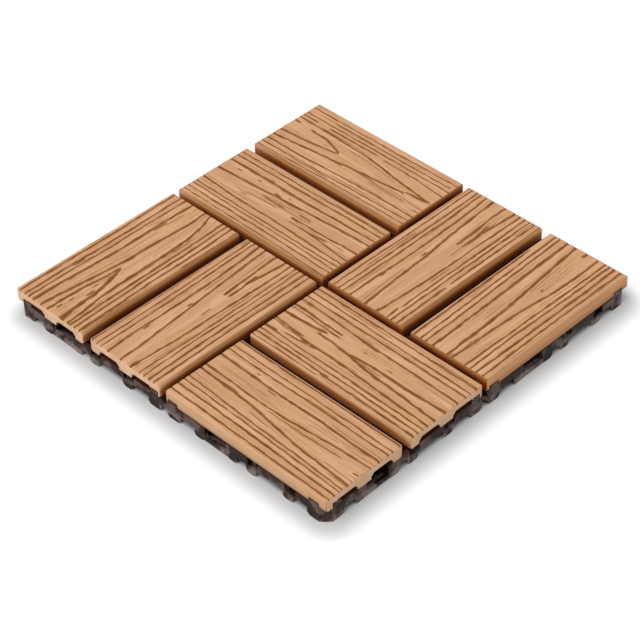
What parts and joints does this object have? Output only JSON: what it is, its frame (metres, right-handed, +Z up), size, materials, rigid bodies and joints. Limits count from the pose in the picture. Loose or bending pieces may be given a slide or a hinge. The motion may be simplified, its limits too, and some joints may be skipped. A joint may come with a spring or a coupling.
{
  "type": "interlocking deck tile",
  "caption": "Square snap-together deck tile: grained wood-plastic slats in a basket weave, screwed to a low ribbed plastic base with catch bars and snap tongues.",
  "frame": {"origin": "on the ground under the middle of the 300 mm tile pitch, on the closed foot at the middle of the base", "axes": "+Z up through the slats; the catch bars are on the -Y and +X sides, the snap tongues on the +Y and -X sides"},
  "size_m": [0.3063, 0.3063, 0.022],
  "materials": {
    "slat_composite": "embossed wood grain with dark brown streaks, smooth moulded sides, matt",
    "base_plastic": "dark brown-grey moulded polypropylene, fine matt",
    "screw_steel": "zinc-plated, satin"
  },
  "bodies": {
    "root": {"base_grid": "base_plastic", "slat_front_left_inner": "slat_composite", "slat_front_left_outer": "slat_composite", "slat_front_right_inner": "slat_composite", "slat_front_right_outer": "slat_composite", "slat_back_right_inner": "slat_composite", "slat_back_right_outer": "slat_composite", "slat_back_left_inner": "slat_composite", "slat_back_left_outer": "slat_composite", "fixing_screws": "screw_steel"}
  },
  "joints": []
}
